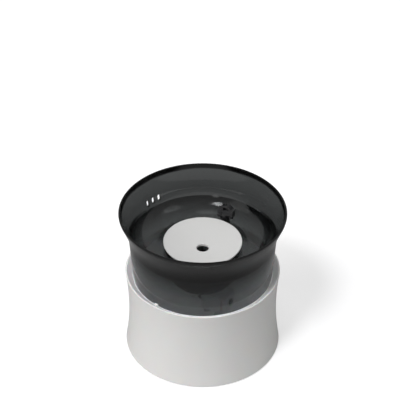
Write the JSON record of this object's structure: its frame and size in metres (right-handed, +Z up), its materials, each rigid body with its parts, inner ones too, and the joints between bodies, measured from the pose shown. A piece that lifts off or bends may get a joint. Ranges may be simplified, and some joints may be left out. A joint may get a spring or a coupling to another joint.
{
  "type": "pet water fountain",
  "caption": "Round pet water fountain: white tank base, smoked flared bowl on its ledge, filter cup with a two-lobed filter and lid, nozzle, pump and cord.",
  "frame": {"origin": "middle of the circle of feet, on the surface that the fountain stands on", "axes": "+Z up, -Y to the front, where the lid's scoop points; the post and the cord's outlet are at the back, +Y"},
  "size_m": [0.209, 0.287, 0.2035],
  "materials": {
    "white_plastic": "satin white moulded plastic",
    "pump_white": "satin white moulded plastic",
    "smoked_plastic": "clear smoked grey plastic",
    "dark_smoked_plastic": "dark smoked plastic",
    "dark_grey_plastic": "satin dark grey plastic",
    "plate_grey": "satin light grey plastic",
    "black_plastic": "satin black plastic",
    "clear_plastic": "clear plastic",
    "filter_fleece": "thin white fleece over dark carbon grains",
    "sponge": "open-cell foam",
    "black_rubber": "matt black rubber",
    "clear_rubber": "clear soft rubber",
    "cord_jacket": "satin pale grey jacket",
    "steel": "nickel-plated steel",
    "iron_core": "potted core and ferrite magnet",
    "ceramic_shaft": "ground white ceramic"
  },
  "bodies": {
    "base": {"base_shell": "white_plastic", "bottom_cover": "white_plastic", "cover_screws": "steel", "rubber_feet": "black_rubber", "cord_grommet": "cord_jacket", "pump_housing": "pump_white", "pump_back_plate": "pump_white", "pump_stator": "iron_core", "pump_shaft": "ceramic_shaft", "pump_chamber_cap": "pump_white", "pump_outlet_seal": "black_rubber", "pump_suction_cups": "clear_rubber", "pump_cord_gland": "black_rubber", "cord_inside": "cord_jacket", "cord_outside": "cord_jacket", "cord_coil": "cord_jacket", "plug_body": "cord_jacket", "plug_shell": "steel"},
    "pump_cover": {"intake_cover": "pump_white", "intake_sponge": "sponge"},
    "dial": {"flow_dial": "black_plastic"},
    "rotor": {"impeller": "pump_white", "rotor_magnet": "iron_core"},
    "bowl": {"bowl_shell": "smoked_plastic", "filter_cup": "dark_smoked_plastic", "riser_tube": "smoked_plastic", "riser_seal": "black_rubber", "nozzle_body": "black_plastic"},
    "knob": {"nozzle_knob": "black_plastic"},
    "filter": {"filter_frame": "clear_plastic", "filter_pad_left": "filter_fleece", "filter_pad_right": "filter_fleece"},
    "lid": {"lid_plate": "plate_grey", "lid_body": "dark_grey_plastic"}
  },
  "joints": [
    {"name": "bowl_lift", "type": "slide", "parent": "base", "child": "bowl", "axis": [0, 0, 1], "range_m": [0, 0.1425]},
    {"name": "filter_lift", "type": "slide", "parent": "bowl", "child": "filter", "axis": [0, 0, 1], "range_m": [0, 0.137]},
    {"name": "lid_lift", "type": "slide", "parent": "filter", "child": "lid", "axis": [0, 0, 1], "range_m": [0, 0.029]},
    {"name": "knob_turn", "type": "hinge", "parent": "bowl", "child": "knob", "pos_m": [0.0285, 0.0515, 0.1635], "axis": [0.9397, -0.342, 0], "range_deg": [0, 90]},
    {"name": "pump_cover_pull", "type": "slide", "parent": "base", "child": "pump_cover", "axis": [0.8746, -0.4848, 0], "range_m": [0, 0.012]},
    {"name": "flow_dial_turn", "type": "hinge", "parent": "pump_cover", "child": "dial", "pos_m": [0.02486, 0.04494, 0.0255], "axis": [0.8746, -0.4848, 0], "range_deg": [0, 90]},
    {"name": "impeller_spin", "type": "hinge", "parent": "base", "child": "rotor", "pos_m": [0.02486, 0.04494, 0.0255], "axis": [0.8746, -0.4848, 0], "continuous": true}
  ]
}
